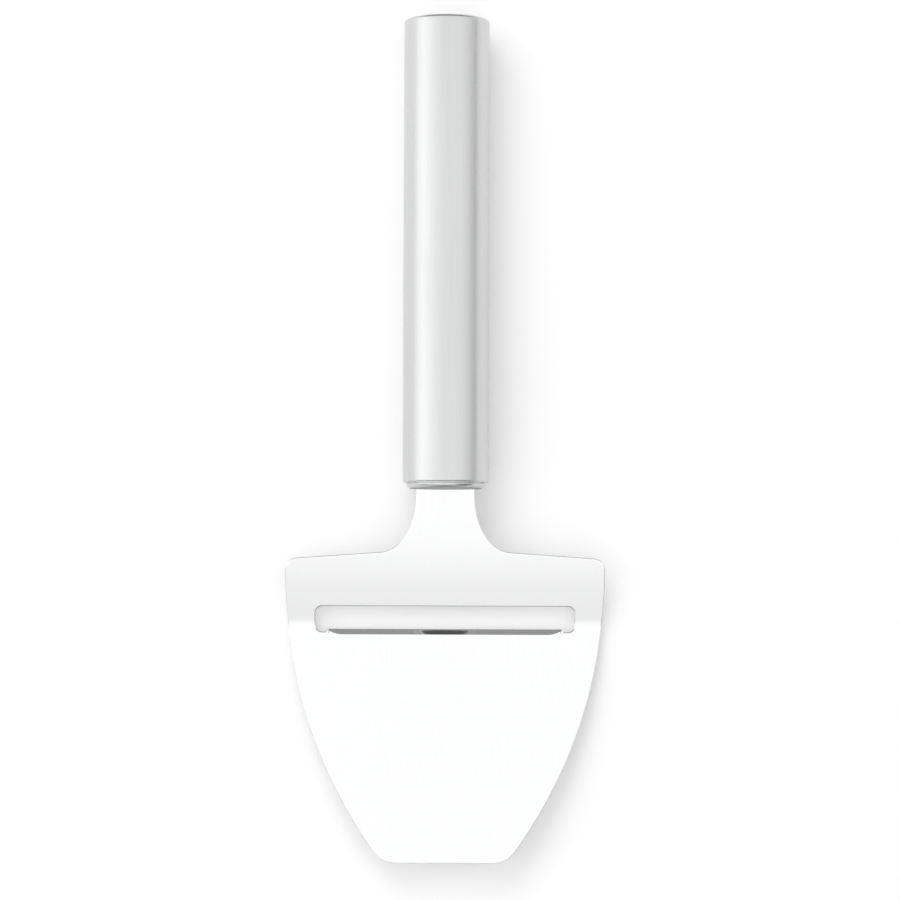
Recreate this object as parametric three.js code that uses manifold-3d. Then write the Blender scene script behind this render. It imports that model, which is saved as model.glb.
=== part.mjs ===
import * as THREE from 'three';
import { mergeVertices } from 'three/addons/utils/BufferGeometryUtils.js';
import Module from 'manifold-3d';

const wasm = await Module();
wasm.setup();

// Sizes are in millimetres and angles in degrees.
// The slicer lies as it does on a table: handle along +Y, blade along -Y, table at z = 0.
const fitGap = 0.3; // room round a piece that sits in another

// Handle tube
const tubeDiameter = 24;
const tubeWall = 1;
const tubeLength = 129.9;
const tubeEndRadius = 0.8; // edge at the closed end
const tubeRimRadius = 0.4; // edge at the blade's end

// Front bolster: the nose shows, the spigot sits in the tube
const noseStep = 1.1; // nose below the tube's outside
const noseLength = 1.4;
const noseEdgeRadius = 1.2;
const spigotLength = 10;
const spigotWall = 2.3; // steel left on each side of the blade's neck

// End cap: a shallow cup let into the tube
const capFloor = 1.6;
const capDepth = 8;
const capWall = 1.2;

// Moulded core in two halves, and the pins through them
const coreEnd = 5.7; // moulding behind the tang
const pinDiameter = 4;
const pinRecess = 1.7; // pin ends below the core's outside
const pinFrontInset = 10; // from the front of the core
const pinRearInset = 8.7; // from the end of the tang

// Blade, side view
const bladeThickness = 1;
const neckRun = 0.5; // level stretch in front of the bolster
const slopeAngle = 26; // steepest fall, where the neck's curve meets the heel
const slopeRun = 2.8; // straight stretch of the slope
const heelRadius = 7; // bend at the foot of the slope
const heelHeight = 2; // heel above the table
const soleRise = 6; // rise of the sole towards the tip
const soleLength = 65.9; // heel to tip, along the sheet

// Blade, outline of the flat sheet
const bladeWidth = 89.6;
const widestAt = 25.5; // from the bolster, along the sheet
const flareStart = 0.9;
const flareLength = 16.85;
const flareReach = 9.9; // spread of the flare on each side
const flareNeckPull = 12;
const flareShoulderPull = 4;
const shoulderDroop = 4.1;
const shoulderRadius = 3.5;
const tipWidth = 26.8; // straight stretch of the tip
const tipRadius = 8;
const tangStep = 2.1; // neck to tang, on each side
const tangLength = 36;
const tangEndRadius = 2;

// Slot and cutting edge, placed from the heel along the sheet
const slotBack = 6.5; // slot's rear edge, towards the handle
const cutEdgeFront = 0.4; // cutting edge, towards the tip
const slotSide = 8.4; // sheet left beside the slot
const slotCornerRadius = 2.2;
const notchWidth = 3.6; // relief at each end of the cutting edge
const notchDepth = 0.7;
const notchRadius = 1.8;
const edgeFlat = 0.15; // sheet left under the bevel at the cutting edge
const bevelRun = 1.6; // width of the ground bevel
const bevelEndRun = 4.5; // how far each end of the bevel runs out

// Fineness of the facets
const roundSteps = 64;
const pinSteps = 24;
const outlineSteps = 8;
const edgeSteps = 4;
const bendStep = 3; // degrees of bend to a strip

const rad = THREE.MathUtils.degToRad;

const axisHeight = tubeDiameter / 2;
const boreRadius = tubeDiameter / 2 - tubeWall;
const insideRadius = boreRadius - fitGap;
const tubeFront = noseLength + fitGap;
const tubeBack = tubeFront + tubeLength;
const bolsterBack = tubeFront + spigotLength;
const neckWidth = 2 * (insideRadius - spigotWall - fitGap);
const tangWidth = neckWidth - 2 * tangStep;
const tangBack = bolsterBack + tangLength;
const coreFront = bolsterBack + fitGap;
const coreBack = tangBack + fitGap + coreEnd;
const pinPlaces = [coreFront + pinFrontInset, tangBack - pinRearInset];
const pinLength = 2 * (insideRadius - pinRecess);

// Where the side view's bends lie along the sheet; the neck's curve brings the heel down to its height.
const slope = rad(slopeAngle);
const rise = rad(soleRise);
const neckDrop = axisHeight - heelHeight - bladeThickness / 2;
const bendDrop = neckDrop - slopeRun * Math.sin(slope);
const neckArcRadius = bendDrop / (1 - Math.cos(slope)) - heelRadius;
const heelAt = neckRun + neckArcRadius * slope + slopeRun + heelRadius * slope;
const tipAt = heelAt + soleLength;
const slotAt = heelAt - slotBack;
const cutEdgeAt = heelAt + cutEdgeFront;
const slotHalf = bladeWidth / 2 - slotSide;
const cutEdgeHalf = slotHalf - notchWidth;

function solidOf(geometry) {
  const bare = geometry.clone();
  bare.deleteAttribute('normal');
  bare.deleteAttribute('uv');
  const merged = mergeVertices(bare, 1e-4);
  return new wasm.Manifold(new wasm.Mesh({
    numProp: 3,
    vertProperties: new Float32Array(merged.attributes.position.array),
    triVerts: new Uint32Array(merged.index.array),
  }));
}

function geometryOf(solid) {
  const mesh = solid.getMesh();
  const geometry = new THREE.BufferGeometry();
  geometry.setAttribute('position', new THREE.BufferAttribute(mesh.vertProperties, 3));
  geometry.setIndex(new THREE.BufferAttribute(mesh.triVerts, 1));
  return geometry;
}

function box(width, length, height, y, z) {
  return solidOf(new THREE.BoxGeometry(width, length, height).translate(0, y, z));
}

// A profile of (radius, y) turned about the handle's axis.
function turned(profile) {
  return new THREE.LatheGeometry(profile.getPoints(edgeSteps), roundSteps).translate(0, 0, axisHeight);
}

// An upright round bar across the handle's axis.
function uprightBar(diameter, length, y) {
  const bar = new THREE.CylinderGeometry(diameter / 2, diameter / 2, length, pinSteps);
  return bar.rotateX(Math.PI / 2).translate(0, y, axisHeight);
}

// The hole that takes a pin, through core and tang.
function pinHole(y) {
  return solidOf(uprightBar(pinDiameter + 2 * fitGap, 2 * tubeDiameter, y));
}

function handleTube() {
  const outer = tubeDiameter / 2;
  const profile = new THREE.Path();
  profile.moveTo(boreRadius, tubeFront);
  profile.lineTo(outer - tubeRimRadius, tubeFront);
  profile.absarc(outer - tubeRimRadius, tubeFront + tubeRimRadius, tubeRimRadius, -Math.PI / 2, 0);
  profile.lineTo(outer, tubeBack - tubeEndRadius);
  profile.absarc(outer - tubeEndRadius, tubeBack - tubeEndRadius, tubeEndRadius, 0, Math.PI / 2);
  profile.lineTo(boreRadius, tubeBack);
  profile.lineTo(boreRadius, tubeFront);
  return turned(profile);
}

function endCap() {
  const hollowRadius = insideRadius - capWall;
  const profile = new THREE.Path();
  profile.moveTo(0, tubeBack - capFloor);
  profile.lineTo(hollowRadius, tubeBack - capFloor);
  profile.lineTo(hollowRadius, tubeBack - capDepth);
  profile.lineTo(insideRadius, tubeBack - capDepth);
  profile.lineTo(insideRadius, tubeBack);
  profile.lineTo(0, tubeBack);
  return turned(profile);
}

// Nose and spigot in one, with a slot right through for the neck.
function frontBolster() {
  const noseRadius = tubeDiameter / 2 - noseStep;
  const profile = new THREE.Path();
  profile.moveTo(0, 0);
  profile.lineTo(noseRadius - noseEdgeRadius, 0);
  profile.absarc(noseRadius - noseEdgeRadius, noseEdgeRadius, noseEdgeRadius, -Math.PI / 2, 0);
  profile.lineTo(noseRadius, noseLength);
  profile.lineTo(insideRadius, noseLength);
  profile.lineTo(insideRadius, bolsterBack);
  profile.lineTo(0, bolsterBack);
  const slot = box(neckWidth + 2 * fitGap, 3 * bolsterBack, bladeThickness + 2 * fitGap, 0, axisHeight);
  return geometryOf(solidOf(turned(profile)).subtract(slot));
}

// One half of the core, with its share of the tang's pocket and of the pin holes: 1 above, -1 below.
function coreHalf(side) {
  const splitAngle = Math.asin(fitGap / 2 / insideRadius);
  const section = new THREE.Shape();
  section.absarc(0, 0, insideRadius, splitAngle, Math.PI - splitAngle);
  section.closePath();
  const bar = new THREE.ExtrudeGeometry(section, {
    depth: coreBack - coreFront,
    bevelEnabled: false,
    curveSegments: roundSteps / 2,
  });
  bar.rotateX(Math.PI / 2).rotateY(side > 0 ? 0 : Math.PI).translate(0, coreBack, axisHeight);
  const pocketWidth = tangWidth + 2 * fitGap;
  const pocketLength = 2 * (tangBack + fitGap - coreFront);
  const pocketHeight = bladeThickness + 2 * fitGap;
  let half = solidOf(bar).subtract(box(pocketWidth, pocketLength, pocketHeight, coreFront, axisHeight));
  for (const y of pinPlaces) {
    half = half.subtract(pinHole(y));
  }
  return geometryOf(half);
}

// Right-hand edge of the flat sheet from the tang to the tip; y runs from the bolster to the tip.
function sheetEdge() {
  const half = bladeWidth / 2;
  const neck = neckWidth / 2;
  const tang = tangWidth / 2;
  const droop = rad(shoulderDroop);
  const shoulderX = neck + flareReach;
  const shoulderY = flareStart + flareLength;
  const cornerX = half - shoulderRadius;
  const cornerY = shoulderY + (cornerX - shoulderX) * Math.tan(droop) + shoulderRadius / Math.cos(droop);

  // The side is one arc from the widest place to the rounded corner of the tip.
  const tipX = tipWidth / 2;
  const tipY = tipAt - tipRadius;
  const across = half - tipX;
  const along = tipY - widestAt;
  const sideRadius = (across ** 2 + along ** 2 - tipRadius ** 2) / (2 * (across - tipRadius));
  const sideX = half - sideRadius;
  const tipAngle = Math.atan2(along, tipX - sideX);

  const edge = new THREE.Path();
  edge.moveTo(tang - tangEndRadius, -tangBack);
  edge.absarc(tang - tangEndRadius, -tangBack + tangEndRadius, tangEndRadius, -Math.PI / 2, 0);
  edge.lineTo(tang, -bolsterBack);
  edge.lineTo(neck, -bolsterBack);
  edge.lineTo(neck, flareStart);
  edge.bezierCurveTo(
    neck,
    flareStart + flareNeckPull,
    shoulderX - flareShoulderPull * Math.cos(droop),
    shoulderY - flareShoulderPull * Math.sin(droop),
    shoulderX,
    shoulderY,
  );
  edge.absarc(cornerX, cornerY, shoulderRadius, droop - Math.PI / 2, 0);
  edge.absarc(sideX, widestAt, sideRadius, 0, tipAngle);
  edge.absarc(tipX, tipY, tipRadius, tipAngle, Math.PI / 2);
  return edge;
}

// Right-hand edge of the slot, with the relief notch beside the cutting edge.
function slotEdge() {
  const notchY = cutEdgeAt + notchDepth;
  const edge = new THREE.Path();
  edge.moveTo(slotHalf - slotCornerRadius, slotAt);
  edge.absarc(slotHalf - slotCornerRadius, slotAt + slotCornerRadius, slotCornerRadius, -Math.PI / 2, 0);
  edge.absarc(slotHalf - notchRadius, notchY - notchRadius, notchRadius, 0, Math.PI / 2);
  edge.lineTo(cutEdgeHalf + notchDepth, notchY);
  edge.lineTo(cutEdgeHalf, cutEdgeAt);
  return edge;
}

// Right half of the flat sheet as one closed line: down the outer edge and back up the middle round the slot.
function halfSheet() {
  return [
    new THREE.Vector2(0, -tangBack),
    ...sheetEdge().getPoints(outlineSteps),
    new THREE.Vector2(0, tipAt),
    new THREE.Vector2(0, cutEdgeAt),
    ...slotEdge().getPoints(edgeSteps).reverse(),
    new THREE.Vector2(0, slotAt),
  ];
}

// The stretch of a closed line of points between two distances along the sheet.
function stretchOf(points, from, to) {
  let line = points;
  for (const [limit, sign] of [[from, 1], [to, -1]]) {
    const kept = [];
    line.forEach((point, i) => {
      const next = line[(i + 1) % line.length];
      const here = sign * (point.y - limit);
      const there = sign * (next.y - limit);
      if (here >= 0) {
        kept.push(point);
      }
      if (here * there < 0) {
        kept.push(point.clone().lerp(next, here / (here - there)).setY(limit));
      }
    });
    line = kept;
  }
  return line;
}

// Side view of the sheet as a chain of stations from behind the tang to beyond the tip.
// Each has its distance along the sheet, its place and its heading below the level.
function sideStations() {
  const bends = [
    { run: neckArcRadius * slope, turn: slope },
    { run: slopeRun, turn: 0 },
    { run: heelRadius * slope, turn: -slope },
    { run: heelRadius * rise, turn: -rise },
    { run: soleLength, turn: 0 },
  ];
  const stations = [
    { at: -2 * tangBack, y: 2 * tangBack, z: axisHeight, heading: 0 },
    { at: neckRun, y: -neckRun, z: axisHeight, heading: 0 },
  ];
  for (const bend of bends) {
    const strips = Math.max(1, Math.ceil(Math.abs(bend.turn) / rad(bendStep)));
    const run = bend.run / strips;
    const turn = bend.turn / strips;
    const chord = turn ? run * Math.sin(turn / 2) / (turn / 2) : run;
    for (let i = 0; i < strips; i++) {
      const last = stations[stations.length - 1];
      stations.push({
        at: last.at + run,
        y: last.y - chord * Math.cos(last.heading + turn / 2),
        z: last.z - chord * Math.sin(last.heading + turn / 2),
        heading: last.heading + turn,
      });
    }
  }
  return stations;
}

// The sheet bent to the side view: strip by strip, both faces and the walls round its edges.
function bentSheet(stations) {
  const half = halfSheet();
  const corners = [];
  for (let i = 1; i < stations.length; i++) {
    const from = stations[i - 1];
    const to = stations[i];
    const line = stretchOf(half, from.at, to.at);
    const place = (point, side, up) => {
      const share = (point.y - from.at) / (to.at - from.at);
      const fromY = from.y - up * Math.sin(from.heading);
      const fromZ = from.z + up * Math.cos(from.heading);
      const toY = to.y - up * Math.sin(to.heading);
      const toZ = to.z + up * Math.cos(to.heading);
      const y = THREE.MathUtils.lerp(fromY, toY, share);
      return [side * point.x, y, THREE.MathUtils.lerp(fromZ, toZ, share)];
    };
    for (const side of [1, -1]) {
      const upper = line.map((point) => place(point, side, bladeThickness / 2));
      const lower = line.map((point) => place(point, side, -bladeThickness / 2));
      const add = (a, b, c) => corners.push(...(side > 0 ? [a, b, c] : [c, b, a]).flat());
      for (const [a, b, c] of THREE.ShapeUtils.triangulateShape(line, [])) {
        add(upper[c], upper[b], upper[a]);
        add(lower[a], lower[b], lower[c]);
      }
      line.forEach((point, a) => {
        const b = (a + 1) % line.length;
        const next = line[b];
        const alongMiddle = point.x === 0 && next.x === 0;
        const alongStation = point.y === next.y && (point.y === from.at || point.y === to.at);
        if (!alongMiddle && !alongStation) {
          add(upper[a], upper[b], lower[b]);
          add(upper[a], lower[b], lower[a]);
        }
      });
    }
  }
  const geometry = new THREE.BufferGeometry();
  return geometry.setAttribute('position', new THREE.Float32BufferAttribute(corners, 3));
}

// The wedge ground off the upper side of the cutting edge, running out at both ends.
// It is drawn on the flat sheet and set on the sole, which starts at the given station.
function bevelWedge(sole) {
  const onSole = (geometry) => {
    geometry.translate(0, sole.at, 0).rotateX(sole.heading).translate(0, sole.y, sole.z);
    return solidOf(geometry);
  };
  const edgeTop = edgeFlat - bladeThickness / 2;
  const bevelRise = bladeThickness - edgeFlat;
  const section = new THREE.Shape();
  section.moveTo(-cutEdgeAt + bevelRun, edgeTop - bevelRise);
  section.lineTo(-cutEdgeAt + bevelRun, edgeTop + 2 * bevelRise);
  section.lineTo(-cutEdgeAt - 2 * bevelRun, edgeTop + 2 * bevelRise);
  section.closePath();
  const bar = new THREE.ExtrudeGeometry(section, { depth: bladeWidth, bevelEnabled: false });
  bar.rotateX(Math.PI / 2).rotateZ(Math.PI / 2).translate(-bladeWidth / 2, 0, 0);

  const outerX = cutEdgeHalf + notchDepth;
  const innerX = outerX - 2 * bevelEndRun;
  const plan = new THREE.Shape();
  plan.moveTo(-outerX, -cutEdgeAt + 2 * bevelRun);
  plan.lineTo(-outerX, -cutEdgeAt);
  plan.lineTo(-innerX, -cutEdgeAt - 2 * bevelRun);
  plan.lineTo(innerX, -cutEdgeAt - 2 * bevelRun);
  plan.lineTo(outerX, -cutEdgeAt);
  plan.lineTo(outerX, -cutEdgeAt + 2 * bevelRun);
  plan.closePath();
  const block = new THREE.ExtrudeGeometry(plan, { depth: 4 * bladeThickness, bevelEnabled: false });
  block.translate(0, 0, -2 * bladeThickness);
  return onSole(bar).intersect(onSole(block));
}

function bladePlate() {
  const stations = sideStations();
  const sole = stations[stations.length - 2];
  let blade = solidOf(bentSheet(stations)).subtract(bevelWedge(sole));
  for (const y of pinPlaces) {
    blade = blade.subtract(pinHole(y));
  }
  return geometryOf(blade);
}

const mattSteel = new THREE.MeshStandardMaterial({ color: 0xa2a3a4, roughness: 0.3, metalness: 1 });
const polishedSteel = new THREE.MeshStandardMaterial({ color: 0xd9d9da, roughness: 0.12, metalness: 1 });
const nylon = new THREE.MeshStandardMaterial({ color: 0x303234, roughness: 0.65, metalness: 0 });

const blade = bladePlate();
blade.computeBoundingBox();

// The group is set so that the middle of the slicer's length lies over the origin.
const part = new THREE.Group();
part.name = 'cheese_slicer';
part.position.y = -(tubeBack + blade.boundingBox.min.y) / 2;

function addPiece(name, geometry, material) {
  const mesh = new THREE.Mesh(geometry, material);
  mesh.name = name;
  part.add(mesh);
}

addPiece('blade_plate', blade, polishedSteel);
addPiece('front_bolster', frontBolster(), mattSteel);
addPiece('handle_tube', handleTube(), mattSteel);
addPiece('end_cap', endCap(), mattSteel);
addPiece('tang_core_upper', coreHalf(1), nylon);
addPiece('tang_core_lower', coreHalf(-1), nylon);
addPiece('tang_pin_front', uprightBar(pinDiameter, pinLength, pinPlaces[0]), polishedSteel);
addPiece('tang_pin_rear', uprightBar(pinDiameter, pinLength, pinPlaces[1]), polishedSteel);

export default part;
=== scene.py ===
from math import atan2, ceil, cos, degrees, radians, sin, tan

import bmesh
import bpy
from mathutils import Matrix, Vector
from mathutils.geometry import interpolate_bezier


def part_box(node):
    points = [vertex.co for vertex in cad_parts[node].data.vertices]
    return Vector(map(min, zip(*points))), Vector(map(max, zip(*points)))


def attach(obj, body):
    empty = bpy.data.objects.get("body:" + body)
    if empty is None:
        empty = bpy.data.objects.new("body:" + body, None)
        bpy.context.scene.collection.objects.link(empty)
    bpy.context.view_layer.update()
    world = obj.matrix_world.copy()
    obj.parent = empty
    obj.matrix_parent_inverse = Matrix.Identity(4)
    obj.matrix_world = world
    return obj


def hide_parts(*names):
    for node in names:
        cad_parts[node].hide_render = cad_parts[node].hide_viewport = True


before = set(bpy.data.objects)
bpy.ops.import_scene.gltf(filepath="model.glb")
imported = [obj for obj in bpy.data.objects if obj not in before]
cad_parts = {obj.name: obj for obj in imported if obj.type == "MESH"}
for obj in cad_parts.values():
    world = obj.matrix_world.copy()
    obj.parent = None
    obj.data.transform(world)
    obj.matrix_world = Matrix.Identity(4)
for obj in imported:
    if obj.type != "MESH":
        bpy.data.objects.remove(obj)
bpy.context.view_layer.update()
scene = bpy.context.scene
mm = 0.001  # the frame is in metres, the sizes of each piece in millimetres
print("frame loaded:", len(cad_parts), "nodes")

# places that every piece shares, read off the frame
tubeLow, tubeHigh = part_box("handle_tube")
noseLow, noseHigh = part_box("front_bolster")
bladeLow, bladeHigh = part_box("blade_plate")
axisHeight = (tubeLow.z + tubeHigh.z) / 2
noseY = noseLow.y  # front of the bolster, where the neck comes out


# small helpers for node trees
def addNode(tree, kind, values=None, **settings):
    node = tree.nodes.new(kind)
    for key, value in settings.items():
        setattr(node, key, value)
    for key, value in (values or {}).items():
        if isinstance(value, bpy.types.NodeSocket):
            tree.links.new(value, node.inputs[key])
        else:
            node.inputs[key].default_value = value
    return node


def addMath(tree, operation, first, second=0.0, clamp=False):
    node = addNode(tree, "ShaderNodeMath", {0: first, 1: second}, operation=operation, use_clamp=clamp)
    return node.outputs[0]


def addRange(tree, value, fromLow, fromHigh, toLow, toHigh):
    limits = {"Value": value, "From Min": fromLow, "From Max": fromHigh, "To Min": toLow, "To Max": toHigh}
    return addNode(tree, "ShaderNodeMapRange", limits).outputs["Result"]


def addNoise(tree, place, scale, detail):
    grain = {"Vector": place, "Scale": scale, "Detail": detail}
    return addNode(tree, "ShaderNodeTexNoise", grain).outputs["Fac"]


def addStretch(tree, place, scales):
    return addNode(tree, "ShaderNodeVectorMath", {0: place, 1: scales}, operation="MULTIPLY").outputs[0]


def objectPlace(tree):
    return addNode(tree, "ShaderNodeTexCoord").outputs["Object"]


def newGroup(name, inputs, output):
    group = bpy.data.node_groups.new(name, "ShaderNodeTree")
    for label, value in inputs.items():
        socket = group.interface.new_socket(name=label, in_out="INPUT", socket_type="NodeSocketFloat")
        socket.default_value = value
    group.interface.new_socket(name=output, in_out="OUTPUT", socket_type="NodeSocketFloat")
    return group, addNode(group, "NodeGroupInput").outputs


def closeGroup(group, output, value):
    addNode(group, "NodeGroupOutput", {output: value})
    return group


# shared effects
def makeBrushGroup():  # fine lines drawn along the object's length
    group, given = newGroup("brushLines", {"Across": 3500.0, "Along": 70.0, "Contrast": 1.0}, "Lines")
    scales = {"X": given["Across"], "Y": given["Along"], "Z": given["Across"]}
    stretch = addNode(group, "ShaderNodeCombineXYZ", scales).outputs[0]
    noise = addNoise(group, addStretch(group, objectPlace(group), stretch), 1.0, 3.0)
    centred = addMath(group, "SUBTRACT", noise, 0.5)
    lines = addMath(group, "MULTIPLY", centred, given["Contrast"])
    return closeGroup(group, "Lines", addMath(group, "ADD", lines, 0.5, clamp=True))


def makeSmudgeGroup():  # faint marks of handling, in patches
    group, given = newGroup("handlingMarks", {"Size": 45.0, "Cover": 0.5}, "Marks")
    place = objectPlace(group)
    patch = {"Vector": place, "Scale": given["Size"], "Detail": 4.0, "Roughness": 0.55, "Distortion": 0.6}
    noise = addNode(group, "ShaderNodeTexNoise", patch)
    start = addMath(group, "SUBTRACT", 0.9, given["Cover"])
    lifted = addMath(group, "SUBTRACT", noise.outputs["Fac"], start)
    return closeGroup(group, "Marks", addMath(group, "MULTIPLY", lifted, 4.0, clamp=True))


def makeRubGroup():  # edges rubbed bright, broken up by noise
    group, given = newGroup("rubbedEdges", {"From": 0.52, "To": 0.62, "Breakup": 900.0}, "Rub")
    sharp = addNode(group, "ShaderNodeNewGeometry").outputs["Pointiness"]
    edge = addRange(group, sharp, given["From"], given["To"], 0.0, 1.0)
    noise = addNoise(group, objectPlace(group), given["Breakup"], 2.0)
    broken = addRange(group, noise, 0.35, 0.6, 0.45, 1.0)
    return closeGroup(group, "Rub", addMath(group, "MULTIPLY", edge, broken, clamp=True))


scratchWays = [(0.5, 0.12), (-0.9, 0.08), (1.7, 0.1)]  # turn in radians and stretch of each set
scratchPatches = 110.0  # scale of the patches that the scratches keep to


def makeScratchGroup():  # hair scratches that cross each other
    group, given = newGroup("hairScratches", {"Scale": 60.0, "Width": 0.004, "Amount": 0.5}, "Scratches")
    place = objectPlace(group)
    found = None
    for turn, stretch in scratchWays:
        spin = {"Vector": place, "Angle": turn}
        turned = addNode(group, "ShaderNodeVectorRotate", spin, rotation_type="Z_AXIS").outputs[0]
        noise = addNoise(group, addStretch(group, turned, (1.0, stretch, 1.0)), given["Scale"], 1.0)
        away = addMath(group, "ABSOLUTE", addMath(group, "SUBTRACT", noise, 0.5))
        line = addMath(group, "SUBTRACT", 1.0, addMath(group, "DIVIDE", away, given["Width"]), clamp=True)
        found = line if found is None else addMath(group, "MAXIMUM", found, line)
    seen = addRange(group, addNoise(group, place, scratchPatches, 2.0), 0.5, 0.62, 0.0, 1.0)
    shown = addMath(group, "MULTIPLY", found, seen)
    return closeGroup(group, "Scratches", addMath(group, "MULTIPLY", shown, given["Amount"], clamp=True))


def makeCreviceGroup():  # painted shade where two pieces meet: ambient occlusion darkens creases and gaps, with its reach in metres
    group, given = newGroup("paintedCreviceShade", {"Reach": 0.0008, "Depth": 0.6, "Softness": 0.5}, "PaintedShade")
    around = addNode(group, "ShaderNodeAmbientOcclusion", {"Distance": given["Reach"]}, samples=8)
    closed = addMath(group, "SUBTRACT", given["Depth"], around.outputs["AO"])
    paintedShade = addMath(group, "DIVIDE", closed, given["Softness"], clamp=True)
    return closeGroup(group, "PaintedShade", paintedShade)


brushLines = makeBrushGroup()
handlingMarks = makeSmudgeGroup()
rubbedEdges = makeRubGroup()
hairScratches = makeScratchGroup()
paintedCreviceShade = makeCreviceGroup()


def placeGroup(tree, group, output, values):
    return addNode(tree, "ShaderNodeGroup", values, node_tree=group).outputs[output]


def mixColours(tree, factor, first, second):  # a Mix node's colours are inputs 6 and 7, output 2
    node = addNode(tree, "ShaderNodeMix", data_type="RGBA")
    tree.links.new(factor, node.inputs["Factor"])
    for socket, value in ((node.inputs[6], first), (node.inputs[7], second)):
        if isinstance(value, bpy.types.NodeSocket):
            tree.links.new(value, socket)
        else:
            socket.default_value = (*value, 1.0)
    return node.outputs[2]


def newMaterial(name):
    material = bpy.data.materials.new(name)
    material.use_nodes = True
    tree = material.node_tree
    return material, tree, tree.nodes["Principled BSDF"]


def addRelief(tree, shader, height, look):
    relief = {"Height": height, "Strength": look["relief"], "Distance": look["reliefDepth"] * mm}
    tree.links.new(addNode(tree, "ShaderNodeBump", relief).outputs[0], shader.inputs["Normal"])


def makeSteel(name, look):  # one recipe for every steel, with its own values
    material, tree, shader = newMaterial(name)
    shader.inputs["Metallic"].default_value = 1.0
    lines = placeGroup(tree, brushLines, "Lines", look["lines"])
    marks = placeGroup(tree, handlingMarks, "Marks", look["marks"])
    rub = placeGroup(tree, rubbedEdges, "Rub", look["rub"])
    scratches = placeGroup(tree, hairScratches, "Scratches", look["scratches"])
    # painted shade: the colour is mixed towards a dark tone in creases and gaps
    paintedShade = placeGroup(tree, paintedCreviceShade, "PaintedShade", look["paintedShade"])
    grained = mixColours(tree, lines, look["dark"], look["pale"])
    clean = mixColours(tree, rub, grained, look["rubbed"])
    tree.links.new(mixColours(tree, paintedShade, clean, look["paintedShadeColour"]), shader.inputs["Base Color"])
    low, high = look["roughness"]
    rough = addRange(tree, lines, 0.0, 1.0, low, high)
    smudged = addMath(tree, "ADD", rough, addMath(tree, "MULTIPLY", marks, look["markRoughness"]))
    scored = addMath(tree, "ADD", smudged, addMath(tree, "MULTIPLY", scratches, look["scratchRoughness"]))
    rubbed = addMath(tree, "SUBTRACT", scored, addMath(tree, "MULTIPLY", rub, look["rubPolish"]), clamp=True)
    tree.links.new(rubbed, shader.inputs["Roughness"])
    addRelief(tree, shader, addMath(tree, "SUBTRACT", lines, scratches), look)
    return material


mattLook = {
    "dark": (0.605, 0.608, 0.612), "pale": (0.665, 0.668, 0.672), "rubbed": (0.76, 0.763, 0.767),
    # dark tone of the painted shade in creases and gaps
    "paintedShadeColour": (0.2, 0.2, 0.2),
    "roughness": (0.25, 0.31), "markRoughness": 0.03, "scratchRoughness": 0.05, "rubPolish": 0.08,
    "relief": 0.12, "reliefDepth": 0.01,
    "lines": {"Across": 3200.0, "Along": 60.0, "Contrast": 1.4},
    "marks": {"Size": 38.0, "Cover": 0.45},
    "rub": {"From": 0.53, "To": 0.65, "Breakup": 700.0},
    # reach, depth and softness of the painted shade in creases and gaps
    "paintedShade": {"Reach": 0.0004, "Depth": 0.42, "Softness": 0.25},
    "scratches": {"Scale": 45.0, "Width": 0.004, "Amount": 0.25},
}
mattSteel = makeSteel("mattSteel", mattLook)
paintedShadeFaceSteel = makeSteel("paintedShadeFaceSteel", dict(  # the bolster's flat front, its steel darkened as painted shade where the neck comes out
    mattLook, dark=(0.15, 0.152, 0.155), pale=(0.22, 0.222, 0.225), rubbed=(0.35, 0.352, 0.355),
    paintedShadeColour=(0.08, 0.08, 0.08), roughness=(0.3, 0.38),
))
polishedSteel = makeSteel("polishedSteel", {
    "dark": (0.835, 0.837, 0.84), "pale": (0.865, 0.867, 0.87), "rubbed": (0.92, 0.922, 0.925),
    # dark tone of the painted shade in creases and gaps
    "paintedShadeColour": (0.16, 0.16, 0.16),
    "roughness": (0.045, 0.075), "markRoughness": 0.03, "scratchRoughness": 0.06, "rubPolish": 0.02,
    "relief": 0.05, "reliefDepth": 0.004,
    "lines": {"Across": 2600.0, "Along": 40.0, "Contrast": 1.0},
    "marks": {"Size": 30.0, "Cover": 0.5},
    "rub": {"From": 0.53, "To": 0.65, "Breakup": 900.0},
    # reach, depth and softness of the painted shade in creases and gaps
    "paintedShade": {"Reach": 0.0007, "Depth": 0.75, "Softness": 0.3},
    "scratches": {"Scale": 40.0, "Width": 0.003, "Amount": 0.3},
})
pinSteel = makeSteel("pinSteel", {
    "dark": (0.58, 0.583, 0.587), "pale": (0.68, 0.683, 0.687), "rubbed": (0.8, 0.803, 0.807),
    # dark tone of the painted shade in creases and gaps
    "paintedShadeColour": (0.2, 0.2, 0.2),
    "roughness": (0.24, 0.36), "markRoughness": 0.08, "scratchRoughness": 0.1, "rubPolish": 0.08,
    "relief": 0.2, "reliefDepth": 0.01,
    "lines": {"Across": 1800.0, "Along": 1800.0, "Contrast": 1.5},
    "marks": {"Size": 300.0, "Cover": 0.5},
    "rub": {"From": 0.53, "To": 0.65, "Breakup": 1500.0},
    # reach, depth and softness of the painted shade in creases and gaps
    "paintedShade": {"Reach": 0.0008, "Depth": 0.5, "Softness": 0.5},
    "scratches": {"Scale": 200.0, "Width": 0.005, "Amount": 0.6},
})


def makeNylon(name, look):  # moulded, with faint flow lines
    material, tree, shader = newMaterial(name)
    flow = placeGroup(tree, brushLines, "Lines", look["flow"])
    marks = placeGroup(tree, handlingMarks, "Marks", look["marks"])
    rub = placeGroup(tree, rubbedEdges, "Rub", look["rub"])
    moulded = mixColours(tree, flow, look["dark"], look["pale"])
    tree.links.new(mixColours(tree, rub, moulded, look["rubbed"]), shader.inputs["Base Color"])
    low, high = look["roughness"]
    tree.links.new(addRange(tree, marks, 0.0, 1.0, low, high), shader.inputs["Roughness"])
    addRelief(tree, shader, flow, look)
    return material


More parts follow.
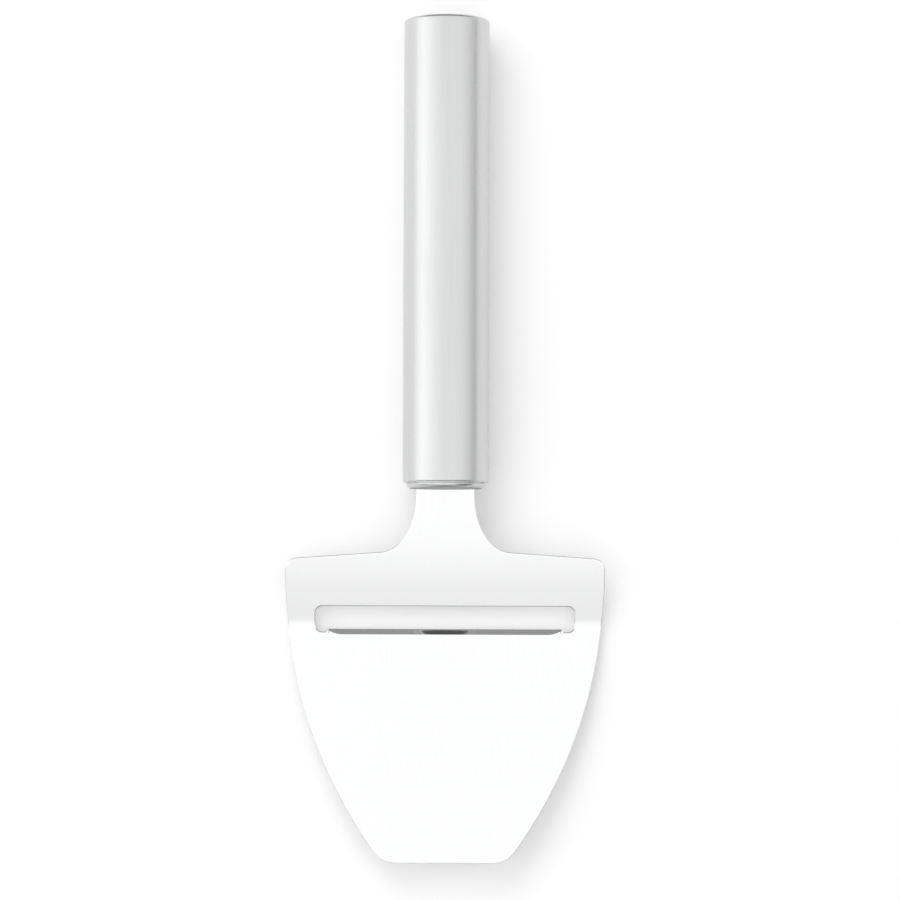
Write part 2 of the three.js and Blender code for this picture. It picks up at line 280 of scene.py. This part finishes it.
darkNylon = makeNylon("darkNylon", {
    "dark": (0.16, 0.168, 0.17), "pale": (0.21, 0.22, 0.222), "rubbed": (0.3, 0.31, 0.31),
    "roughness": (0.5, 0.68), "relief": 0.3, "reliefDepth": 0.03,
    "flow": {"Across": 900.0, "Along": 500.0, "Contrast": 1.2},
    "marks": {"Size": 160.0, "Cover": 0.5},
    "rub": {"From": 0.53, "To": 0.65, "Breakup": 800.0},
})
finishes = (mattSteel, paintedShadeFaceSteel, polishedSteel, pinSteel, darkNylon)
print("materials made:", ", ".join(finish.name for finish in finishes))


# small helpers for meshes
def arcPoints(centreX, centreY, radius, start, end, step=6.0):  # angles in degrees
    count = max(2, ceil(abs(end - start) / step))
    turns = [radians(start + (end - start) * i / count) for i in range(count + 1)]
    return [Vector((centreX + radius * cos(turn), centreY + radius * sin(turn))) for turn in turns]


def closeMesh(bm, name):
    mesh = bpy.data.meshes.new(name)
    bm.to_mesh(mesh)
    bm.free()
    return mesh


def placeObject(name, data):
    placed = bpy.data.objects.new(name, data)
    scene.collection.objects.link(placed)
    return placed


def applyModifiers(piece):
    seen = piece.evaluated_get(bpy.context.evaluated_depsgraph_get())
    made = bpy.data.meshes.new_from_object(seen)
    piece.modifiers.clear()
    piece.data = made


def makePiece(name, mesh, sharpAngle):
    mesh.shade_smooth()
    mesh.set_sharp_from_angle(angle=radians(sharpAngle))
    piece = placeObject(name, mesh)
    even = piece.modifiers.new("evenNormals", "WEIGHTED_NORMAL")
    even.keep_sharp = True
    even.weight = 90  # large faces lead, so flats stay flat beside their rounds
    applyModifiers(piece)
    return piece


def fitPiece(piece, node, material):
    piece.data.materials.clear()
    piece.data.materials.append(material)
    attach(piece, "root")
    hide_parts(node)
    print("made", piece.name, "with", len(piece.data.polygons), "faces")


# blade: a flat sheet with rounded edges, cut at its bends, ground at the slot, then bent
blade = {
    "thickness": 1.0, "sharpAngle": 25.0,
    "edgeRound": 0.28, "slotRound": 0.4, "cuttingRound": 0.02, "roundSteps": 5, "edgeBand": 0.6,
    "neckRun": 0.5, "slopeAngle": 26.0, "slopeRun": 2.8, "heelRadius": 7.0, "soleRise": 6.0,
    "soleLength": 65.9, "bendStep": 1.0,
    "neckHalf": 8.1, "tangHalf": 6.0, "tangEndRadius": 2.0,
    "flareStart": 0.9, "flareLength": 16.85, "flareReach": 9.9, "flarePoints": 32,
    "flareNeckPull": 12.0, "flareShoulderPull": 4.0,
    "shoulderDroop": 4.1, "shoulderRadius": 3.5, "widestAt": 25.5, "sideStep": 0.6,
    "tipHalf": 13.4, "tipRadius": 8.0,
    "slotBack": 6.5, "cutEdgeFront": 0.4, "slotSide": 8.4, "slotRadius": 2.2,
    "notchWidth": 3.6, "notchDepth": 0.7, "notchRadius": 1.8,
    "edgeFlat": 0.15, "bevelRun": 1.6, "bevelEndRun": 4.5, "bevelEndSteps": 6,
    "upperLean": 0.9, "grindReach": 0.1,  # which faces the grinding may cut
    "pinHole": 2.3, "pinHoleStep": 12.0,
}
samePlace = 1e-3  # places this close count as one
bladeHalf = bladeHigh.x / mm
tangBack = (bladeHigh.y - noseY) / mm  # end of the tang behind the bolster's front
bolsterBack = (noseHigh.y - noseY) / mm

# where the bends lie along the sheet, counted from the bolster's front to the tip
slope = radians(blade["slopeAngle"])
rise = radians(blade["soleRise"])
neckDrop = (axisHeight - bladeLow.z) / mm - blade["thickness"] / 2
bendDrop = neckDrop - blade["slopeRun"] * sin(slope)
neckRadius = bendDrop / (1 - cos(slope)) - blade["heelRadius"]
bends = [  # length and turn of each stretch
    (blade["neckRun"], 0.0),
    (neckRadius * slope, slope),
    (blade["slopeRun"], 0.0),
    (blade["heelRadius"] * slope, -slope),
    (blade["heelRadius"] * rise, -rise),
]
heelAt = sum(length for length, turn in bends[:4])
tipAt = heelAt + blade["soleLength"]
slotAt = heelAt - blade["slotBack"]
cutEdgeAt = heelAt + blade["cutEdgeFront"]
cutEdgeHalf = bladeHalf - blade["slotSide"] - blade["notchWidth"]
bevelEndAt = cutEdgeHalf + blade["notchDepth"] - blade["bevelEndRun"]  # where the bevel starts to run out


def sidePlace(along):  # middle of the sheet in the side view, and its fall below the level
    y, z, fall, left = noseY / mm, axisHeight / mm, 0.0, along
    for length, turn in bends + [(blade["soleLength"], 0.0)]:
        run = min(left, length) if turn or along > 0 else left  # the tang runs straight back
        bend = turn * run / length
        chord = run * sin(bend / 2) / (bend / 2) if bend else run
        y -= chord * cos(fall + bend / 2)
        z -= chord * sin(fall + bend / 2)
        fall += bend
        left -= run
        if left <= 0:
            break
    return y, z, fall


def bendStations():
    places, start = [], 0.0
    for length, turn in bends:
        count = max(1, ceil(degrees(abs(turn)) / blade["bendStep"]))
        places += [start + length * (i + 1) / count for i in range(count)]
        start += length
    return [bends[0][0]] + places[1:]


def mirrored(points):
    return points + [Vector((-p.x, p.y)) for p in reversed(points)]


def sheetOutline():
    neck, tang = blade["neckHalf"], blade["tangHalf"]
    droop = radians(blade["shoulderDroop"])
    shoulder = Vector((neck + blade["flareReach"], blade["flareStart"] + blade["flareLength"]))
    pull = Vector((cos(droop), sin(droop))) * blade["flareShoulderPull"]
    corner = Vector((bladeHalf - blade["shoulderRadius"], 0.0))
    corner.y = shoulder.y + (corner.x - shoulder.x) * tan(droop) + blade["shoulderRadius"] / cos(droop)
    # each side is one arc from the widest place to the round of the tip
    tip = Vector((blade["tipHalf"], tipAt - blade["tipRadius"]))
    across, reach = bladeHalf - tip.x, tip.y - blade["widestAt"]
    sideRadius = (across ** 2 + reach ** 2 - blade["tipRadius"] ** 2) / (2 * (across - blade["tipRadius"]))
    sideX = bladeHalf - sideRadius
    tipTurn = degrees(atan2(reach, tip.x - sideX))

    endRadius = blade["tangEndRadius"]
    points = arcPoints(tang - endRadius, endRadius - tangBack, endRadius, -90.0, 0.0)
    points += [Vector((tang, -bolsterBack)), Vector((neck, -bolsterBack))]
    neckEnd = Vector((neck, blade["flareStart"]))
    neckPull = neckEnd + Vector((0.0, blade["flareNeckPull"]))
    flare = interpolate_bezier(neckEnd, neckPull, shoulder - pull, shoulder, blade["flarePoints"])
    points += [Vector(p[:2]) for p in flare]
    points += arcPoints(corner.x, corner.y, blade["shoulderRadius"], blade["shoulderDroop"] - 90.0, 0.0)
    points += arcPoints(sideX, blade["widestAt"], sideRadius, 0.0, tipTurn, blade["sideStep"])[1:]
    points += arcPoints(tip.x, tip.y, blade["tipRadius"], tipTurn, 90.0)[1:]
    return mirrored(points)


def bevelEndPlaces():  # sideways steps in which the bevel runs out
    steps = blade["bevelEndSteps"]
    return [bevelEndAt + blade["bevelEndRun"] * i / steps for i in range(steps + 1)]


def slotOutline():
    side = bladeHalf - blade["slotSide"]
    radius, notch = blade["slotRadius"], blade["notchRadius"]
    notchY = cutEdgeAt + blade["notchDepth"]
    points = arcPoints(side - radius, slotAt + radius, radius, -90.0, 0.0)
    points += arcPoints(side - notch, notchY - notch, notch, 0.0, 90.0)
    points += [Vector((cutEdgeHalf + blade["notchDepth"], notchY)), Vector((cutEdgeHalf, cutEdgeAt))]
    ends = [x for x in bevelEndPlaces() if x < cutEdgeHalf]
    points += [Vector((x, cutEdgeAt)) for x in reversed(ends)]
    return mirrored(points)


def pinHoles():
    holes = []
    for node in ("tang_pin_front", "tang_pin_rear"):
        low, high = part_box(node)
        middle = (noseY - (low.y + high.y) / 2) / mm
        holes.append(arcPoints(0.0, middle, blade["pinHole"], 0.0, 360.0, blade["pinHoleStep"])[:-1])
    return holes


def stepsIntoSheet(points):  # the sheet lies to the left of each outline
    steps = []
    for i, here in enumerate(points):
        before = (here - points[i - 1]).normalized()
        after = (points[(i + 1) % len(points)] - here).normalized()
        step = Vector((-before.y - after.y, before.x + after.x)).normalized()
        steps.append(step / max(0.5, step.dot(Vector((-after.y, after.x)))))
    return steps


def edgeRounds(points, slotEdge):
    if not slotEdge:
        return [blade["edgeRound"]] * len(points)
    cutting = [abs(p.y - cutEdgeAt) < samePlace for p in points]
    return [blade["cuttingRound"] if sharp else blade["slotRound"] for sharp in cutting]


def addEdge(bm, points, rounds):  # the rounded wall along one outline, from the upper face to the lower
    steps = stepsIntoSheet(points)
    half = blade["thickness"] / 2
    turns = [radians(90.0 * i / blade["roundSteps"]) for i in range(blade["roundSteps"] + 1)]
    rows = [(turn, 1) for turn in turns] + [(turn, -1) for turn in reversed(turns)]
    rings = []
    for turn, face in rows:
        ring = []
        for point, step, size in zip(points, steps, rounds):
            place = point + step * size * (1 - sin(turn))
            ring.append(bm.verts.new((place.x, place.y, face * (half - size * (1 - cos(turn))))))
        rings.append(ring)
    count = len(points)
    for upper, lower in zip(rings, rings[1:]):
        for i in range(count):
            j = (i + 1) % count
            bm.faces.new((upper[i], upper[j], lower[j], lower[i]))
    rims = []
    for ring in (rings[0], rings[-1]):
        rims.append([bm.edges.get((ring[i], ring[(i + 1) % count])) for i in range(count)])
    return rims


def cutAcross(bm, faces, place, normal):
    parts = set(faces)
    for face in faces:
        parts.update(face.edges)
        parts.update(face.verts)
    bmesh.ops.bisect_plane(bm, geom=list(parts), dist=1e-4, plane_co=place, plane_no=normal)


def groundHeight(x, past):  # upper side of the ground edge, running out towards its ends
    steps = blade["bevelEndSteps"]
    share = max(0.0, abs(x) - bevelEndAt) / blade["bevelEndRun"] * steps
    whole = int(share)
    out = (whole ** 2 + (share - whole) * (2 * whole + 1)) / steps ** 2  # straight between two steps
    lift = (past / blade["bevelRun"] + out) * (blade["thickness"] - blade["edgeFlat"])
    return blade["edgeFlat"] - blade["thickness"] / 2 + lift


def grindCuttingEdge(bm):
    run, ends = blade["bevelRun"], bevelEndPlaces()

    def topFaces(low, high):
        found = []
        for face in bm.faces:
            middle = face.calc_center_median()
            upper = face.normal.z > blade["upperLean"] and middle.y > cutEdgeAt - blade["grindReach"]
            if upper and low < middle.x < high:
                found.append(face)
        return found

    cutAcross(bm, topFaces(-ends[-1], ends[-1]), (0, cutEdgeAt + run, 0), (0, 1, 0))
    for side in (1, -1):
        corners = []  # line along which the bevel meets the sole
        for x in ends:
            cutAcross(bm, topFaces(-bladeHalf, bladeHalf), (side * x, 0, 0), (1, 0, 0))
            out = (x - bevelEndAt) / blade["bevelEndRun"]
            corners.append(Vector((side * x, cutEdgeAt + run * (1 - out ** 2), 0)))
        for first, last in zip(corners, corners[1:]):
            line = last - first
            cutAcross(bm, topFaces(*sorted((first.x, last.x))), first, (-line.y, line.x, 0))
    for vert in bm.verts:
        past = vert.co.y - cutEdgeAt
        if -samePlace < past < run + samePlace and abs(vert.co.x) < ends[-1]:
            vert.co.z = min(vert.co.z, groundHeight(vert.co.x, past))


def makeBlade():
    bm = bmesh.new()
    outlines = [(sheetOutline(), False), (list(reversed(slotOutline())), True)]
    outlines += [(list(reversed(hole)), False) for hole in pinHoles()]
    upper, lower = [], []
    for points, slotEdge in outlines:
        top, bottom = addEdge(bm, points, edgeRounds(points, slotEdge))
        upper += top
        lower += bottom
    for edges, way in ((upper, 1), (lower, -1)):
        filled = bmesh.ops.triangle_fill(bm, use_beauty=True, edges=edges, normal=(0, 0, way))
        faces = [part for part in filled["geom"] if isinstance(part, bmesh.types.BMFace)]
        bmesh.ops.inset_region(bm, faces=faces, thickness=blade["edgeBand"], use_even_offset=True)
    bmesh.ops.recalc_face_normals(bm, faces=bm.faces)
    grindCuttingEdge(bm)
    for along in bendStations():
        cutAcross(bm, bm.faces[:], (0, along, 0), (0, 1, 0))
    for vert in bm.verts:
        y, z, fall = sidePlace(vert.co.y)
        up = vert.co.z
        vert.co = Vector((vert.co.x, y - up * sin(fall), z + up * cos(fall))) * mm
    bmesh.ops.recalc_face_normals(bm, faces=bm.faces)
    return makePiece("bladeSheet", closeMesh(bm, "bladeSheet"), blade["sharpAngle"])


bladeSheet = makeBlade()
fitPiece(bladeSheet, "blade_plate", polishedSteel)


# turned pieces: a profile of (radius, y) with its corners rounded, spun about the handle's axis
turning = {"cornerStep": 12.0, "sharpAngle": 30.0}  # degrees


def roundedProfile(corners, closed):  # corners are (radius, y, rounding) in millimetres
    points = []
    for i, (radius, y, rounding) in enumerate(corners):
        here = Vector((radius, y))
        ends = not closed and i in (0, len(corners) - 1)
        if ends or rounding == 0:
            points.append(here)
            continue
        before = (Vector(corners[i - 1][:2]) - here).normalized()
        after = (Vector(corners[(i + 1) % len(corners)][:2]) - here).normalized()
        half = before.angle(after) / 2
        centre = here + (before + after).normalized() * rounding / sin(half)
        first = here + before * rounding / tan(half)
        last = here + after * rounding / tan(half)
        start, end = (degrees(atan2(p.y - centre.y, p.x - centre.x)) for p in (first, last))
        end += 360.0 * round((start - end) / 360.0)
        points += arcPoints(centre.x, centre.y, rounding, start, end, turning["cornerStep"])
    return points


def makeTurned(name, corners, closed, steps):
    points = roundedProfile(corners, closed)
    bm = bmesh.new()
    verts = [bm.verts.new((p.x * mm, p.y * mm, axisHeight)) for p in points]
    edges = [bm.edges.new(pair) for pair in zip(verts, verts[1:])]
    if closed:
        edges.append(bm.edges.new((verts[-1], verts[0])))
    bmesh.ops.spin(bm, geom=verts + edges, cent=(0, 0, axisHeight), axis=(0, 1, 0), dvec=(0, 0, 0),
                   angle=radians(360.0), steps=steps, use_merge=True)
    bmesh.ops.remove_doubles(bm, verts=bm.verts, dist=1e-7)
    bmesh.ops.recalc_face_normals(bm, faces=bm.faces)
    return closeMesh(bm, name)


# handle tube
tube = {
    "wall": 1.0, "rimRound": 0.4, "endRound": 0.8, "boreRound": 0.15, "edgeBand": 1.0, "steps": 192,
}
tubeRadius = tubeHigh.x / mm
tubeFront, tubeBack = tubeLow.y / mm, tubeHigh.y / mm
boreRadius = tubeRadius - tube["wall"]
tubeCorners = [
    (boreRadius, tubeFront, tube["boreRound"]),
    (tubeRadius, tubeFront, tube["rimRound"]),
    (tubeRadius, tubeFront + tube["edgeBand"] + tube["rimRound"], 0),
    (tubeRadius, tubeBack - tube["edgeBand"] - tube["endRound"], 0),
    (tubeRadius, tubeBack, tube["endRound"]),
    (boreRadius, tubeBack, tube["boreRound"]),
]
tubeMesh = makeTurned("handleTube", tubeCorners, True, tube["steps"])
handleTube = makePiece("handleTube", tubeMesh, turning["sharpAngle"])
fitPiece(handleTube, "handle_tube", mattSteel)

# end cap: a shallow cup let into the tube
cap = {"floor": 1.6, "wall": 1.2, "edgeRound": 0.3, "insideRound": 0.5, "edgeBand": 0.6, "steps": 160}
capLow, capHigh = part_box("end_cap")
capRadius = capHigh.x / mm
capInside, capBack = capRadius - cap["wall"], capHigh.y / mm
capCorners = [
    (0, capBack - cap["floor"], 0),
    (capInside, capBack - cap["floor"], cap["insideRound"]),
    (capInside, capLow.y / mm, cap["edgeRound"]),
    (capRadius, capLow.y / mm, cap["edgeRound"]),
    (capRadius, capBack, cap["edgeRound"]),
    (capRadius - cap["edgeRound"] - cap["edgeBand"], capBack, 0),
    (0, capBack, 0),
]
capMesh = makeTurned("endCap", capCorners, False, cap["steps"])
endCap = makePiece("endCap", capMesh, turning["sharpAngle"])
fitPiece(endCap, "end_cap", mattSteel)

# front bolster: nose and spigot in one, with a slot right through for the neck
bolster = {
    "noseLength": 1.4, "noseRound": 1.2, "lipRound": 0.15, "spigotGap": 1.3, "edgeRound": 0.3,
    "slotHalf": 8.4, "slotHeight": 1.6, "slotReach": 3.0, "steps": 192,
    "faceLean": -0.92, "faceDepth": 0.5,  # what counts as the flat front
}
noseRadius = noseHigh.x / mm
spigotRadius = tubeRadius - bolster["spigotGap"]
noseFront, spigotBack = noseLow.y / mm, noseHigh.y / mm
noseBack = noseFront + bolster["noseLength"]
bolsterCorners = [
    (0, noseFront, 0),
    (noseRadius, noseFront, bolster["noseRound"]),
    (noseRadius, noseBack, bolster["lipRound"]),
    (spigotRadius, noseBack, 0),
    (spigotRadius, spigotBack, bolster["edgeRound"]),
    (0, spigotBack, 0),
]


def cutNeckSlot(mesh):
    bm = bmesh.new()
    length = bolster["slotReach"] * (spigotBack - noseFront)  # well past both ends
    size = Vector((2 * bolster["slotHalf"], length, bolster["slotHeight"])) * mm
    middle = Vector((0, (noseFront + spigotBack) / 2 * mm, axisHeight))
    bmesh.ops.create_cube(bm, size=1.0, matrix=Matrix.Translation(middle) @ Matrix.Diagonal((*size, 1.0)))
    cutter = placeObject("neckSlotCutter", closeMesh(bm, "neckSlotCutter"))
    ring = placeObject("slottedRing", mesh)
    cut = ring.modifiers.new("neckSlot", "BOOLEAN")
    cut.object = cutter
    cut.operation = "DIFFERENCE"
    cut.solver = "EXACT"
    applyModifiers(ring)
    slotted = ring.data
    bpy.data.objects.remove(ring)
    bpy.data.objects.remove(cutter)
    return slotted


bolsterMesh = cutNeckSlot(makeTurned("bolsterRing", bolsterCorners, False, bolster["steps"]))
bolsterRing = makePiece("bolsterRing", bolsterMesh, turning["sharpAngle"])
fitPiece(bolsterRing, "front_bolster", mattSteel)
bolsterRing.data.materials.append(paintedShadeFaceSteel)
# the flat front faces take the darkened steel, painted shade beside the neck
for polygon in bolsterRing.data.polygons:
    front = polygon.center.y < (noseFront + bolster["faceDepth"]) * mm
    if front and polygon.normal.y < bolster["faceLean"]:
        polygon.material_index = 1

# core halves and pins keep their shapes and get a finish
for node, material in (
    ("tang_core_upper", darkNylon), ("tang_core_lower", darkNylon),
    ("tang_pin_front", pinSteel), ("tang_pin_rear", pinSteel),
):
    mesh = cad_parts[node].data
    mesh.materials.clear()
    mesh.materials.append(material)
print("core and pins finished")


# floor, light and camera
stageLook = {  # metres and watts, and levels by a direction's lean from -1 to 1
    "floorSize": 12.0, "floorDrop": 0.00002, "floorColour": (0.77, 0.77, 0.77), "floorGlow": 0.21,
    "lampWay": (-0.38, 0.95, 1.0), "lampDistance": 1.3, "lampSize": (0.8, 0.8), "lampPower": 6.6,
    # the room is the same from side to side, darker in front and paler behind
    "roomAcross": [(-1.0, 1.0), (1.0, 1.0)],
    "roomAlong": [(-1.0, 0.2), (-0.9, 0.12), (-0.6, 0.14), (-0.2, 0.2), (0.6, 0.2), (0.9, 0.34), (1.0, 0.36)],
    # brightness of the overhead strip by sideways lean, and its share by lean along the handle
    "stripAcross": [
        (-1.0, 1.15), (-0.95, 1.4), (-0.88, 1.41), (-0.78, 1.3), (-0.62, 1.19), (-0.4, 1.07), (-0.15, 1.0),
        (0.0, 0.96), (0.4, 1.0), (0.6, 0.98), (0.75, 0.92), (0.83, 0.85), (0.9, 0.74), (0.95, 0.6),
        (1.0, 0.35),
    ],
    "stripAlong": [(-0.35, 0.0), (-0.15, 1.0), (0.33, 1.0), (0.5, 0.15), (0.6, 0.0)],
    # the box in front is narrower and reaches down to the neck's slope
    "frontAcross": [(-0.95, 0.0), (-0.75, 0.7), (-0.35, 1.0), (0.35, 1.0), (0.65, 0.0)],
    "frontAlong": [
        (-0.92, 0.0), (-0.87, 0.3), (-0.83, 0.78), (-0.79, 0.85), (-0.7, 0.86), (-0.6, 0.9),
        (-0.44, 0.95), (-0.35, 0.96), (-0.15, 0.0),
    ],
}


def makeFloor():
    mesh = bpy.data.meshes.new("floor")
    half = stageLook["floorSize"] / 2
    corners = [(-half, -half, 0), (half, -half, 0), (half, half, 0), (-half, half, 0)]
    mesh.from_pydata(corners, [], [(0, 1, 2, 3)])
    floor = placeObject("floor", mesh)
    floor.location.z = -stageLook["floorDrop"]
    material = bpy.data.materials.new("paleFloor")
    material.use_nodes = True
    tree = material.node_tree
    tree.nodes.clear()
    path = addNode(tree, "ShaderNodeLightPath").outputs
    seen = addMath(tree, "MAXIMUM", path["Is Camera Ray"], path["Is Glossy Ray"])
    seen = addMath(tree, "MAXIMUM", seen, path["Is Transmission Ray"])
    glow = addMath(tree, "MULTIPLY", seen, stageLook["floorGlow"])
    matt = addNode(tree, "ShaderNodeBsdfDiffuse", {"Color": (*stageLook["floorColour"], 1.0)})
    shine = addNode(tree, "ShaderNodeEmission", {"Color": (1, 1, 1, 1), "Strength": glow})
    both = addNode(tree, "ShaderNodeAddShader", {0: matt.outputs[0], 1: shine.outputs[0]})
    addNode(tree, "ShaderNodeOutputMaterial", {"Surface": both.outputs[0]})
    mesh.materials.append(material)


def addRamp(tree, value, stops):  # stops are (lean from -1 to 1, level)
    share = addRange(tree, value, -1.0, 1.0, 0.0, 1.0)
    ramp = addNode(tree, "ShaderNodeValToRGB", {"Fac": share})
    elements = ramp.color_ramp.elements
    ramp.color_ramp.interpolation = "LINEAR"
    while len(elements) < len(stops):
        elements.new(1.0)
    for element, (lean, level) in zip(elements, stops):
        element.position = (lean + 1) / 2
        element.color = (level, level, level, 1.0)
    return ramp.outputs["Color"]


def makeWorld():  # a dim room, a strip overhead and a box in front
    world = bpy.data.worlds.new("studio")
    scene.world = world
    world.use_nodes = True
    tree = world.node_tree
    tree.nodes.clear()
    place = addNode(tree, "ShaderNodeTexCoord").outputs["Generated"]
    split = addNode(tree, "ShaderNodeSeparateXYZ", {0: place}).outputs
    lights = 0.0
    for name in ("room", "strip", "front"):
        across = addRamp(tree, split["X"], stageLook[name + "Across"])
        along = addRamp(tree, split["Y"], stageLook[name + "Along"])
        lights = addMath(tree, "ADD", lights, addMath(tree, "MULTIPLY", across, along))
    glow = addNode(tree, "ShaderNodeBackground", {"Color": (1, 1, 1, 1), "Strength": lights})
    addNode(tree, "ShaderNodeOutputWorld", {"Surface": glow.outputs[0]})


def makeLamp():  # one soft box behind the handle's left side
    data = bpy.data.lights.new("softBox", "AREA")
    data.shape = "RECTANGLE"
    data.size, data.size_y = stageLook["lampSize"]
    data.energy = stageLook["lampPower"]
    lamp = placeObject("softBox", data)
    lamp.visible_glossy = False  # it casts the shadow and stays out of the steel
    way = Vector(stageLook["lampWay"]).normalized()
    lamp.location = way * stageLook["lampDistance"]
    lamp.rotation_euler = way.to_track_quat("Z", "Y").to_euler()


cameraPlace = {  # millimetres, seen almost straight from above
    "height": 880.0, "back": -31.2, "aim": (1.25, 11.4), "lens": 124.4, "roll": 0.2,
}


def makeCamera():
    data = bpy.data.cameras.new("photoCamera")
    data.lens = cameraPlace["lens"]
    camera = placeObject("photoCamera", data)
    place = Vector((0, noseY + cameraPlace["back"] * mm, cameraPlace["height"] * mm))
    aim = Vector((cameraPlace["aim"][0] * mm, noseY + cameraPlace["aim"][1] * mm, 0))
    back = (place - aim).normalized()
    right = Vector((0, 1, 0)).cross(back).normalized()
    turn = Matrix((right, back.cross(right), back)).transposed().to_4x4()
    roll = Matrix.Rotation(radians(cameraPlace["roll"]), 4, "Z")
    camera.matrix_world = Matrix.Translation(place) @ turn @ roll
    scene.camera = camera


makeFloor()
makeWorld()
makeLamp()
makeCamera()
scene.view_settings.view_transform = "Standard"
print("floor, light and camera set")
